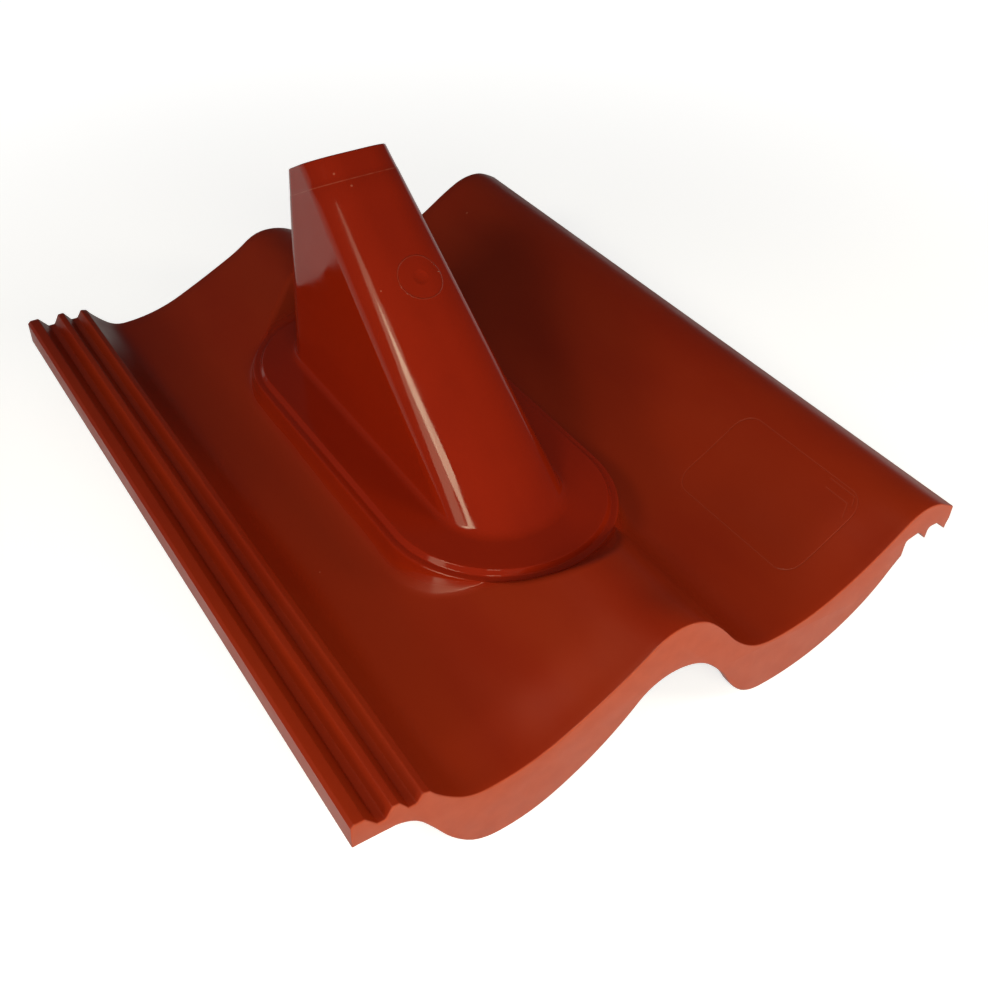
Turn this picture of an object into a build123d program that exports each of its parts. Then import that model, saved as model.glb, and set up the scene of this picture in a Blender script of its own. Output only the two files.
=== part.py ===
"""Antenna roof tile: a moulded plastic double-roll tile with a hood that lets a mast through.

Millimetres, +Z up.  X runs across the tile from the left lock to the right lock, Y runs
up the slope from the front rim to the head, and Z = 0 is the plane that the lowest point
of the rim rests on.  The values below are measured from the front left corner; the last
step moves the finished tile so that the origin is under its middle.
"""

import math
import os

from build123d import *

# Overall size
tile_length = 417.0
tile_width = 331.0
sheet = 3.0
rim_depth = 4.5
lock_width = 29.0
cover_width = tile_width - lock_width

# Left lock: three ribs and two grooves on a flat strip, closed by a side wall
groove_floor = 49.3
groove_1_x = 13.3
groove_2_x = 27.2
groove_flat = 3.6
rib_1_top = 55.6
rib_2_top = 55.0
rib_3_top = 53.8
rib_2_x = 19.9
rib_3_x = 33.6
rib_flat = 3.2
wall_foot = 42.0
lock_round = 1.1

# Wave of the front edge: position, height and slope in degrees of each turning place
wave_start = (37.6, 49.4, -50.0)
trough_1 = (62.0, 34.7, 0.0)
rise_1 = (134.0, 63.0, 34.0)
crest_1 = (160.0, 77.0, 0.0)
fall_1 = (190.3, 55.0, -55.0)
trough_2 = (220.0, 35.8, 0.0)
rise_2 = (tile_width - 44.5, 61.2, 37.0)
crest_2 = (tile_width - 18.0, 75.8, 0.0)
wave_end = (tile_width, 68.2, -32.0)

# Wave of the sheet behind the nose, flatter so that the next course can lie on it
nose_length = 34.0
sheet_trough_1 = (56.7, 36.8, 0.0)
sheet_rise_1 = (129.1, 61.5, 27.0)
sheet_crest_1 = (156.6, 74.4, 0.0)
sheet_rise_2 = (tile_width - 46.5, 62.6, 33.5)
sheet_crest_2 = (tile_width - 17.0, 74.6, 0.0)

# Lower edge of the front rim
rim_left = (19.0, 41.8, -8.0)
rim_fall_0 = (40.5, 20.5, -60.0)
rim_trough_1 = (68.0, 0.0, 0.0)
rim_rise_1 = (124.0, 24.5, 40.0)
rim_crest = (160.0, 49.6, 0.0)
rim_fall = (195.0, 22.0, -62.0)
rim_trough_2 = (217.5, 4.5, 0.0)
rim_rise_2 = (tile_width - 48.0, 29.5, 42.0)
rim_right = (tile_width - 30.0, 50.0, 48.0)

# Right lock: two pointed teeth that drop into the grooves of the next tile
tooth_tip = 54.7
tooth_root = 61.2
tooth_back = 4.6
tooth_1_x = groove_1_x + cover_width
tooth_2_x = groove_2_x + cover_width

# Plinth: an oval platform that carries the hood
plinth_x = 153.0
plinth_front_y = 136.5
plinth_back_y = 280.0
plinth_radius = 62.3
plinth_draft = 4.0
recess_draft = 42.0
ledge_height = 54.6
step_foot_radius = 58.4
plateau_radius = 56.6
plateau_height = 57.4

# Hood: base and top sections, each a rounded rectangle
hood_base_half = 33.5
hood_base_front = 101.0
hood_base_back = 321.0
hood_base_corner = 32.5
hood_top_width = 42.0
hood_top_length = 48.0
hood_top_corner = 7.0
hood_top_y = 296.0
hood_top_height = 172.0
hood_lean = 32.0
hood_wall = 2.8
hood_foot_round = 5.0

# Nibs under the head
nib_y = tile_length - 22.0
nib_width = 28.0
nib_depth = 12.0


def moved(point, drop):
    """A wave point shifted square to the curve, to the underside for a positive drop."""
    across, height, slope = point
    angle = math.radians(slope)
    return (across + drop * math.sin(angle), height - drop * math.cos(angle))


def along(point):
    """Direction of the curve at a wave point."""
    angle = math.radians(point[2])
    return Vector(math.cos(angle), math.sin(angle))


def smooth_line(points, drop=0.0):
    """Two arcs between each wave point and the next, tangent to each other and to both slopes."""
    for point, next_point in zip(points, points[1:]):
        start, leaving = Vector(*moved(point, drop)), along(point)
        end, arriving = Vector(*moved(next_point, drop)), along(next_point)
        gap = end - start
        reach = gap.dot(leaving + arriving)
        turn = 2 - 2 * leaving.dot(arriving)
        run = (math.sqrt(reach**2 + turn * gap.dot(gap)) - reach) / turn
        joint = (start + leaving * run + end - arriving * run) * 0.5
        TangentArc(start, joint, tangent=leaving)
        TangentArc(end, joint, tangent=-arriving)


def oval(radius, mode=Mode.ADD):
    """The outline of the plinth at a given radius round its two centres."""
    with Locations((plinth_x, (plinth_front_y + plinth_back_y) / 2)):
        SlotCenterToCenter(plinth_back_y - plinth_front_y, 2 * radius, rotation=90, mode=mode)


nose_wave = (wave_start, trough_1, rise_1, crest_1, fall_1, trough_2, rise_2, crest_2, wave_end)
sheet_wave = (wave_start, sheet_trough_1, sheet_rise_1, sheet_crest_1, fall_1, trough_2, sheet_rise_2,
              sheet_crest_2, wave_end)
nose_end = Plane.XZ.offset(-nose_length)
lock_under = groove_floor - sheet
under_start = moved(wave_start, sheet)
under_end = moved(wave_end, sheet)
inner_right = tile_width - tooth_back
belly = 20.0
step_height = plateau_height - ledge_height

lock_points = (
    (0.0, rib_1_top - 1.6),
    (1.6, rib_1_top),
    (6.4, rib_1_top),
    (groove_1_x - groove_flat / 2, groove_floor),
    (groove_1_x + groove_flat / 2, groove_floor),
    (rib_2_x - rib_flat / 2, rib_2_top),
    (rib_2_x + rib_flat / 2, rib_2_top),
    (groove_2_x - groove_flat / 2, groove_floor),
    (groove_2_x + groove_flat / 2, groove_floor),
    (rib_3_x - rib_flat / 2, rib_3_top),
    (rib_3_x + rib_flat / 2, rib_3_top - 1.0),
    wave_start[:2],
)



def outer_section(wave):
    """Outline of everything below the visible top."""
    FilletPolyline(*lock_points, radius=lock_round)
    smooth_line(wave)
    Polyline(
        wave_end[:2],
        (tile_width, tooth_root),
        (inner_right, tooth_root),
        (inner_right, belly),
        (sheet, belly),
        (sheet, wall_foot),
        (0.0, wall_foot),
        lock_points[0],
    )


def inner_section(wave):
    """Outline of everything below the underside."""
    Line((sheet, lock_under), (under_start[0] - 2.5, lock_under))
    Line((under_start[0] - 2.5, lock_under), under_start)
    smooth_line(wave, sheet)
    Polyline(
        under_end,
        (inner_right, under_end[1]),
        (inner_right, belly - 5),
        (sheet, belly - 5),
        (sheet, lock_under),
    )


# Everything below the visible top of the tile; over the nose the front wave turns into the sheet's
with BuildPart() as outside:
    with BuildSketch(Plane.XZ):
        with BuildLine():
            outer_section(nose_wave)
        make_face()
    with BuildSketch(nose_end):
        with BuildLine():
            outer_section(sheet_wave)
        make_face()
    loft(ruled=True)
    with BuildSketch(nose_end):
        with BuildLine():
            outer_section(sheet_wave)
        make_face()
    extrude(amount=nose_length - tile_length)

    # The plinth replaces the wave inside its oval outline, with sloping sides to the crests
    with BuildSketch(Plane.XY.offset(ledge_height)):
        oval(plinth_radius)
    extrude(amount=40.0, taper=-recess_draft, mode=Mode.SUBTRACT)
    with BuildSketch(Plane.XY.offset(ledge_height)):
        oval(plinth_radius)
    extrude(amount=belly - ledge_height, taper=-plinth_draft)
    with BuildSketch(Plane.XY.offset(ledge_height)):
        oval(step_foot_radius)
    extrude(amount=step_height, taper=math.degrees(math.atan2(step_foot_radius - plateau_radius, step_height)))

# Everything below the underside of the sheet and of the plinth
with BuildPart() as hollow:
    with BuildSketch(Plane.XZ):
        with BuildLine():
            inner_section(nose_wave)
        make_face()
    with BuildSketch(nose_end):
        with BuildLine():
            inner_section(sheet_wave)
        make_face()
    loft(ruled=True)
    with BuildSketch(nose_end):
        with BuildLine():
            inner_section(sheet_wave)
        make_face()
    extrude(amount=nose_length - tile_length)
    with BuildSketch(Plane.XY.offset(ledge_height - sheet)):
        oval(plinth_radius - sheet)
    extrude(amount=belly - ledge_height, taper=-plinth_draft)
    with BuildSketch(Plane.XY.offset(ledge_height - sheet)):
        oval(plinth_radius - sheet)
    extrude(amount=50.0)
    recess_shift = sheet / math.cos(math.radians(recess_draft)) - sheet * math.tan(math.radians(recess_draft))
    with BuildSketch(Plane.XY.offset(ledge_height - sheet)):
        oval(plinth_radius + recess_shift)
    extrude(amount=50.0, taper=-recess_draft, mode=Mode.SUBTRACT)

# The hood rises from the plateau and leans up the slope, in step with a mast on a pitched roof
hood_slope = math.radians(hood_lean)
top_front = (
    hood_top_y - hood_top_length / 2 * math.cos(hood_slope),
    hood_top_height + hood_top_length / 2 * math.sin(hood_slope),
)
top_back = (
    hood_top_y + hood_top_length / 2 * math.cos(hood_slope),
    hood_top_height - hood_top_length / 2 * math.sin(hood_slope),
)


def between(low, high, share):
    """The value part of the way from low to high."""
    return low + (high - low) * share


def hood_ends(share, foot):
    """Front and back points of the hood, as (y, height), at a share of its rise."""
    front = (between(hood_base_front, top_front[0], share), between(foot, top_front[1], share))
    back = (between(hood_base_back, top_back[0], share), between(foot, top_back[1], share))
    return front, back


def hood_plane(share, foot):
    """The leaning plane through the front and back points of the hood."""
    front, back = hood_ends(share, foot)
    lean = math.atan2(front[1] - back[1], back[0] - front[0])
    return Plane(
        origin=(plinth_x, (front[0] + back[0]) / 2, (front[1] + back[1]) / 2),
        x_dir=(1, 0, 0),
        z_dir=(0, math.sin(lean), math.cos(lean)),
    )


def hood_section(share, foot, inset):
    """One rounded rectangle of the hood, shrunk by the wall for the inside."""
    front, back = hood_ends(share, foot)
    width = between(2 * hood_base_half, hood_top_width, share)
    length = math.hypot(back[0] - front[0], back[1] - front[1])
    corner = between(hood_base_corner, hood_top_corner, share)
    RectangleRounded(width - 2 * inset, length - 2 * inset, corner - inset)


outside_foot = plateau_height - 1
inside_foot = ledge_height - sheet - 1

with BuildPart() as hood:
    for share in (0.0, 1.0):
        with BuildSketch(hood_plane(share, outside_foot)):
            hood_section(share, outside_foot, 0.0)
    loft(ruled=True)

with BuildPart() as hood_inside:
    for share in (0.0, 1.0):
        with BuildSketch(hood_plane(share, inside_foot)):
            hood_section(share, inside_foot, hood_wall)
    loft(ruled=True)
    with BuildSketch(hood_plane(1.0, inside_foot)):
        hood_section(1.0, inside_foot, hood_wall)
    extrude(amount=5.0)

# The one moulded piece
with BuildPart() as tile_shape:
    add(outside.part)
    add(hollow.part, mode=Mode.SUBTRACT)

    # Front rim: a deep plate with its own lower curve, its top edge inside the sheet
    with BuildSketch(Plane.XZ):
        with BuildLine():
            FilletPolyline(*lock_points, moved(wave_start, sheet / 2), radius=lock_round)
            smooth_line(nose_wave, sheet / 2)
            Polyline(
                moved(wave_end, sheet / 2),
                (tile_width, tooth_root),
                (rim_right[0] + 7.5, tooth_root + 1.0),
                (rim_right[0] + 0.6, tooth_root - 1.5),
                rim_right[:2],
            )
            smooth_line((rim_left, rim_fall_0, rim_trough_1, rim_rise_1, rim_crest, rim_fall, rim_trough_2,
                         rim_rise_2, rim_right))
            Polyline(rim_left[:2], (0.0, rim_left[1]), lock_points[0])
        make_face()
    extrude(amount=-rim_depth)

    # Two pointed teeth along the right lock
    with BuildSketch(Plane.XZ):
        with BuildLine():
            Polyline(
                (tooth_1_x - 3.4, crest_2[1] - 3),
                (tooth_1_x - 3.4, tooth_root),
                (tooth_1_x, tooth_tip),
                (tooth_1_x + 1.4, tooth_root - 1),
                (tooth_1_x + 1.4, crest_2[1] - 3),
                close=True,
            )
        make_face()
        with BuildLine():
            Polyline(
                (inner_right, tooth_root + 2),
                (inner_right, tooth_root),
                (tooth_2_x, tooth_tip),
                (tile_width, tooth_root - 0.6),
                (tile_width, tooth_root + 2),
                close=True,
            )
        make_face()
    extrude(amount=-tile_length)

    # Nibs that hook over the batten at the head
    for valley, foot in ((sheet_trough_1, rim_trough_1[1]), (trough_2, rim_trough_2[1])):
        with BuildSketch(Plane.XY.offset(foot)):
            with Locations((valley[0], nib_y)):
                Rectangle(nib_width - 6, nib_depth - 5)
        extrude(amount=valley[1] - 0.8 - foot, taper=-4.0)
        with BuildSketch(Plane.YZ.offset(valley[0] - sheet / 2)):
            with BuildLine():
                Polyline(
                    (nib_y - nib_depth / 2 + 1, foot + 6),
                    (nib_y - 34, valley[1] - 1.5),
                    (nib_y, valley[1] - 1.5),
                    (nib_y, foot + 6),
                    close=True,
                )
            make_face()
        extrude(amount=sheet)

    # Hood with a round foot, and the way through it
    add(hood.part)
    foot_edges = [
        e for e in tile_shape.edges()
        if abs(e.bounding_box().min.Z - plateau_height) < 0.01
        and abs(e.bounding_box().max.Z - plateau_height) < 0.01
        and e.bounding_box().min.X > plinth_x - hood_base_half - 2
        and e.bounding_box().max.X < plinth_x + hood_base_half + 2
        and e.bounding_box().min.Y > hood_base_front - 4
        and e.bounding_box().max.Y < hood_base_back + 4
    ]
    fillet(foot_edges, radius=hood_foot_round)
    add(hood_inside.part, mode=Mode.SUBTRACT)

# The finished tile, with the origin under the middle of its outline
with BuildPart() as roof_tile:
    with Locations((-tile_width / 2, -tile_length / 2, 0)):
        add(tile_shape.part)

roof_tile.part.label = "roof_tile"
os.makedirs("parts", exist_ok=True)
export_step(roof_tile.part, "parts/roof_tile.step")
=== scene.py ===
# %% [markdown]
# # An antenna roof tile
#
# The object is one moulding of glossy red-brown plastic: a double-roll roof tile with locks along both sides,
# a deep front rim, an oval plinth let into the waves and a leaning hollow hood that an antenna mast comes
# through. The whole scene is one visible piece, so the work lies in its surface: smooth rolls, small rounded
# edges where faces meet, and a plastic that is polished on the hood and a little duller on the sheet.

# %% Load the frame
import math

import bmesh
import bpy
import numpy as np
from mathutils import Matrix, Vector


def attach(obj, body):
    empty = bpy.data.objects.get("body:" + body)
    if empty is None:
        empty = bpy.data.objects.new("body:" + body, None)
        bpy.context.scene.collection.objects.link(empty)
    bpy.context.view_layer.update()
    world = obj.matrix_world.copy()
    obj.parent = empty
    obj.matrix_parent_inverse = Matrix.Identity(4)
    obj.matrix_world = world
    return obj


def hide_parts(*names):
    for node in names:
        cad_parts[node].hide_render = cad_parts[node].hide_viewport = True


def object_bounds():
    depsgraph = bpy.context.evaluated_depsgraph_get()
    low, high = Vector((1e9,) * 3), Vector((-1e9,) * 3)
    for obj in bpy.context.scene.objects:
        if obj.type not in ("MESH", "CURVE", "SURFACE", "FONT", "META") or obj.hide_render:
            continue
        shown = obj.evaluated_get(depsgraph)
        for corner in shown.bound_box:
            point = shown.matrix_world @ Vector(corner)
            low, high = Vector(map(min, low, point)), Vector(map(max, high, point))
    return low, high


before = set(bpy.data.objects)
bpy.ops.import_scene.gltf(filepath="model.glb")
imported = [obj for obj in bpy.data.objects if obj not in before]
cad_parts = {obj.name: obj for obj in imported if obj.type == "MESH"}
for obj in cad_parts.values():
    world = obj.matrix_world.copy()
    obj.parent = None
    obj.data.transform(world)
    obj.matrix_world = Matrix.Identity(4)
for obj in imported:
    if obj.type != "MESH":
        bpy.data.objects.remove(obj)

cad_low, cad_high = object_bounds()
print("CAD box:", [round(v, 4) for v in cad_low], [round(v, 4) for v in cad_high])

# %% [markdown]
# ## Units and the main sizes
#
# A roof tile is drawn in millimetres from its front left corner, because that is where a roofer measures it
# from. Blender works in metres about the middle of the outline, so one helper turns the drawing into the
# scene at the very end. The overall sizes come from the frame, and the others are the tile's own.

# %% Main sizes
MM = 0.001
WIDTH = (cad_high[0] - cad_low[0]) / MM
LENGTH = (cad_high[1] - cad_low[1]) / MM
SHEET = 3.0
RIM_DEPTH = 4.5
EDGE_ROUND = 0.9
END_ROUND = 0.5
print("Tile:", round(WIDTH, 1), "by", round(LENGTH, 1), "mm")


def to_scene(points):
    """Corner coordinates in millimetres to the frame's metres."""
    middle = np.array([WIDTH / 2, LENGTH / 2, 0.0])
    return (np.asarray(points, dtype=float) - middle) * MM


# %% [markdown]
# ## The wave of the sheet
#
# The sheet rolls through two troughs and two crests. A spline would do, but a tile mould is cut as arcs that
# run into each other, so each stretch between two turning places is a pair of arcs, tangent to each other
# and to the slope at both ends. The same pairs draw the underside, three millimetres square to the top. The
# front edge's wave is a little deeper than the sheet's behind it, so that each course grips the one below, and
# turns into the sheet's over a short nose.

# %% Wave points and arcs
# Each turning place is its distance across, its height and its slope in degrees.
NOSE_WAVE = (
    (37.6, 49.4, -50.0), (62.0, 34.7, 0.0), (134.0, 63.0, 34.0),
    (160.0, 77.0, 0.0), (190.3, 55.0, -55.0), (220.0, 35.8, 0.0),
    (WIDTH - 44.5, 61.2, 37.0), (WIDTH - 18.0, 75.8, 0.0), (WIDTH, 68.2, -32.0),
)
SHEET_WAVE = (
    NOSE_WAVE[0], (56.7, 36.8, 0.0), (129.1, 61.5, 27.0),
    (156.6, 74.4, 0.0), NOSE_WAVE[4], NOSE_WAVE[5],
    (WIDTH - 46.5, 62.6, 33.5), (WIDTH - 17.0, 74.6, 0.0), NOSE_WAVE[8],
)
NOSE_END = 34.0
RIM_CURVE = (
    (19.0, 42.0, -8.0), (40.5, 20.5, -60.0), (68.0, 0.0, 0.0),
    (124.0, 24.5, 40.0), (160.0, 49.6, 0.0), (195.0, 22.0, -62.0),
    (217.5, 4.5, 0.0), (WIDTH - 48.0, 29.5, 42.0), (WIDTH - 30.0, 50.0, 48.0),
)


def arc_between(start, leaving, end, steps):
    """Points of the arc that leaves start in a direction and passes through end."""
    gap = end - start
    turn = 2 * math.atan2(leaving[0] * gap[1] - leaving[1] * gap[0], leaving @ gap)
    points = []
    for share in np.linspace(0, 1, steps + 1)[1:]:
        if abs(turn) < 1e-6:
            points.append(start + gap * share)
            continue
        angle = turn * share / 2
        reach = np.linalg.norm(gap) * math.sin(angle) / math.sin(turn / 2)
        heading = np.array([leaving[0] * math.cos(angle) - leaving[1] * math.sin(angle),
                            leaving[0] * math.sin(angle) + leaving[1] * math.cos(angle)])
        points.append(start + heading * reach)
    return points


def arc_curve(turning_places, drop=0.0, steps=40):
    """A dense run of points along the pairs of arcs, shifted square to the curve by drop."""
    places = []
    for across, height, slope in turning_places:
        way = np.array([math.cos(math.radians(slope)), math.sin(math.radians(slope))])
        places.append((np.array([across + drop * way[1], height - drop * way[0]]), way))
    points = [places[0][0]]
    for (start, leaving), (end, arriving) in zip(places, places[1:]):
        gap = end - start
        reach = gap @ (leaving + arriving)
        turn = 2 - 2 * (leaving @ arriving)
        run = (math.sqrt(reach**2 + turn * (gap @ gap)) - reach) / turn
        joint = (start + leaving * run + end - arriving * run) / 2
        points += arc_between(start, leaving, joint, steps)
        points += arc_between(end, -arriving, joint, steps)[-2::-1]
        points.append(end)
    return np.array(points)


nose_top, nose_under = arc_curve(NOSE_WAVE), arc_curve(NOSE_WAVE, SHEET)
sheet_top, sheet_under = arc_curve(SHEET_WAVE), arc_curve(SHEET_WAVE, SHEET)
rim_curve = arc_curve(RIM_CURVE)


def top_height(x):
    """Height of the visible side of the sheet, behind the nose."""
    return np.interp(x, sheet_top[:, 0], sheet_top[:, 1])


def under_height(x):
    """Height of the underside of the sheet, behind the nose."""
    return np.interp(x, sheet_under[:, 0], sheet_under[:, 1])


def nose_share(y):
    """How far the front wave has turned into the sheet's wave at a place along the length."""
    share = np.clip((y - RIM_DEPTH) / (NOSE_END - RIM_DEPTH), 0.0, 1.0)
    return share * share * (3 - 2 * share)


print("Wave points:", len(sheet_top), "lowest", round(float(sheet_top[:, 1].min()), 2),
      "highest", round(float(nose_top[:, 1].max()), 2))

# %% [markdown]
# ## The side locks
#
# On the left edge the tile has three ribs and two grooves, and on the right edge two teeth that drop into the
# grooves of the next tile. All of them run the full length, so each is a section that is drawn once. Moulded
# plastic has no knife edges, so a helper rounds every corner of a section with a few points.

# %% Lock sections
LOCK_ROUND = 1.1
MOST_REACH = 0.48  # of a straight run, that a round corner may take from either end
LOCK_POINTS = (
    (0.0, 54.0), (1.6, 55.6), (6.4, 55.6),
    (11.5, 49.3), (15.1, 49.3), (18.3, 55.0),
    (21.5, 55.0), (25.4, 49.3), (29.0, 49.3),
    (32.0, 53.8), (35.2, 52.8), (37.6, 49.4),
)
LOCK_UNDER = 46.3
WALL_FOOT = 42.0
TOOTH_ROOT = 61.2
TOOTH_TIP = 54.7
TOOTH_BACK = WIDTH - 4.6
TOOTH_1 = WIDTH - 15.7
TOOTH_2 = WIDTH - 1.8
SMALL = 1e-9


def bend(before, corner, after, share):
    """Part of the way round a bend from before to after that the corner draws in."""
    return (1 - share) ** 2 * before + 2 * share * (1 - share) * corner + share**2 * after


def bend_rows(before, corner, after, steps):
    """The places of a whole bend, in which each place is a point or a row of them."""
    before, corner, after = (np.asarray(p, dtype=float) for p in (before, corner, after))
    return [bend(before, corner, after, share) for share in np.linspace(0, 1, steps + 1)]


def rounded(points, radius, steps=4):
    """A run of points with every inner corner rounded."""
    points = [np.asarray(p, dtype=float) for p in points]
    result = [points[0]]
    for before, corner, after in zip(points, points[1:], points[2:]):
        back, on = before - corner, after - corner
        back_run, on_run = np.linalg.norm(back), np.linalg.norm(on)
        half = math.acos(np.clip(back @ on / back_run / on_run, -1, 1)) / 2
        reach = min(radius / math.tan(half), MOST_REACH * back_run, MOST_REACH * on_run)
        result += bend_rows(corner + back / back_run * reach, corner, corner + on / on_run * reach, steps)
    result.append(points[-1])
    return np.array(result)


lock_section = rounded(LOCK_POINTS, LOCK_ROUND)
print("Lock section points:", len(lock_section))

# %% [markdown]
# ## Lines that the surface hangs on
#
# A smooth surface with crisp steps needs its mesh lines along the steps. The tile is the same all along its
# length except near the plinth, so the outer part is a plain net of lengthwise and crosswise lines, and the
# middle is a net of columns that run out from the hood, square to the oval. The two nets share their points
# along a rectangle.

# %% Columns round the plinth
PLINTH_X = 153.0
PLINTH_FRONT_Y = 136.5
PLINTH_BACK_Y = 280.0
SIDE_COLUMNS = 56
CORNER_COLUMNS = 52
FLAT_COLUMNS = 24
CAP_COLUMNS = 2 * CORNER_COLUMNS + FLAT_COLUMNS
RING_RADIUS = 85.5
NET_LEFT = 60.0
NET_RIGHT = 246.0
NET_FRONT = 40.0
NET_BACK = 376.0


def oval_columns():
    """Foot on the centre line and outward direction of every column of the oval."""
    feet, ways = [], []
    halves = ((PLINTH_FRONT_Y, PLINTH_BACK_Y, 0.0), (PLINTH_BACK_Y, PLINTH_FRONT_Y, math.pi))
    for low, high, angle in halves:
        for i in range(SIDE_COLUMNS):
            feet.append((PLINTH_X, low + (high - low) * i / SIDE_COLUMNS))
            ways.append((math.cos(angle), 0.0))
        for i in range(CAP_COLUMNS):
            turn = angle + math.pi * i / CAP_COLUMNS
            feet.append((PLINTH_X, high))
            ways.append((math.cos(turn), math.sin(turn)))
    return np.array(feet), np.array(ways)


oval_foot, oval_way = oval_columns()
COLUMNS = len(oval_foot)
ones = np.ones(COLUMNS)


def on_oval(radius):
    """Plan positions on every column at a radius, one value or one for each column."""
    return oval_foot + oval_way * np.broadcast_to(np.asarray(radius, dtype=float), (COLUMNS,))[:, None]


def rectangle_targets():
    """Where each column meets the rectangle that joins the two nets."""
    reach = RING_RADIUS * math.sqrt(0.5)
    low = np.array((PLINTH_X, PLINTH_FRONT_Y)) - reach
    high = np.array((PLINTH_X, PLINTH_BACK_Y)) + reach
    first, last = np.array((NET_LEFT, NET_FRONT)), np.array((NET_RIGHT, NET_BACK))
    target = first + (on_oval(RING_RADIUS) - low) / (high - low) * (last - first)
    return np.round(np.clip(target, first, last), 6)


rectangle = rectangle_targets()
middle_x = np.unique(rectangle[rectangle[:, 1] == NET_FRONT, 0])
middle_y = np.unique(rectangle[rectangle[:, 0] == NET_LEFT, 1])
print("Columns:", COLUMNS, "lines across:", len(middle_x), "lines along:", len(middle_y))

# %% [markdown]
# ## A place to gather the skin
#
# Every patch of the skin is rows of points with faces between them. A small collector keeps them, and points
# that patches share are merged at the end, so that the tile comes out as one closed skin.

# %% Skin collector
skin_points = []
skin_faces = []


def add_row(points):
    """Keeps a row of points and returns their numbers."""
    start = len(skin_points)
    skin_points.extend(tuple(float(v) for v in p) for p in points)
    return list(range(start, start + len(points)))


def join_rows(rows, closed):
    """Faces between each row and the next."""
    for row, next_row in zip(rows, rows[1:]):
        last = len(row) if closed else len(row) - 1
        for i in range(last):
            j = (i + 1) % len(row)
            skin_faces.append((row[i], row[j], next_row[j], next_row[i]))


def cap(row):
    """One flat face across a closed row."""
    skin_faces.append(tuple(row))


def at_y(section, y):
    """A section of the tile, drawn as x and height, stood at a place along the length."""
    return [(x, y, z) for x, z in section]


# %% [markdown]
# ## The oval ring, from the plinth out to the sheet
#
# The plinth stands above the troughs and below the crests. Its wall drops to the sheet with a little draft
# where the sheet is low, and slopes up at about forty-five degrees where a crest is cut away. Both kinds of
# wall start at one ledge, so each column only has to find where its wall meets the sheet. At the front left the
# foot of the wall is nearly flat and mirrors the window as one patch, so the bend is flattened there.

# %% Ring from the ledge to the rectangle
PLINTH_RADIUS = 62.3
PLINTH_DRAFT = math.radians(4.0)
RECESS_DRAFT = math.radians(42.0)
LEDGE_HEIGHT = 54.6
WALL_TOP_ROUND = 1.3
WALL_FOOT_ROUND = 5.5
RECESS_TOP_ROUND = 3.5
TOP_SHARE = 0.25  # of the wall's length, that each round may take
FOOT_SHARE = 0.72
RECESS_SHARE = 0.45
SLOPE_WAY = (-0.76, -0.65)
SLOPE_FLATNESS = 0.85
SLOPE_BEGINS = 0.82
SLOPE_FULL = 0.95
FARTHEST_FOOT = 6.0
RECESS_MARGIN = 1.5
HALVINGS = 50
OUT_ROWS = 6
toward_slope = (oval_way @ np.array(SLOPE_WAY) - SLOPE_BEGINS) / (SLOPE_FULL - SLOPE_BEGINS)
slope_share = SLOPE_FLATNESS * np.clip(toward_slope, 0, 1)
print("Columns with a flattened foot:", int((slope_share > 0).sum()))


def meeting_radius(start_radius, start_height, sheet_height, up):
    """Radius at which the wall of each column meets the sheet."""
    low = start_radius.copy()
    high = np.where(up, RING_RADIUS - RECESS_MARGIN, start_radius + FARTHEST_FOOT)
    rise = np.where(up, 1 / math.tan(RECESS_DRAFT), -1 / math.tan(PLINTH_DRAFT))
    for _ in range(HALVINGS):
        middle = (low + high) / 2
        wall = start_height + (middle - start_radius) * rise
        over = wall - sheet_height(on_oval(middle)[:, 0])
        beyond = np.where(up, over > 0, over < 0)
        high = np.where(beyond, middle, high)
        low = np.where(beyond, low, middle)
    return (low + high) / 2


def radial_row(radius, height):
    """One row of the ring at a radius and height for each column."""
    plan = on_oval(radius)
    return add_row(np.column_stack((plan, np.broadcast_to(height, (COLUMNS,)))))


def curve_rows(*places_and_steps):
    """Rows of a round step; each place is a pair of arrays, radius and height."""
    return [radial_row(*place) for place in bend_rows(*places_and_steps)]


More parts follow.
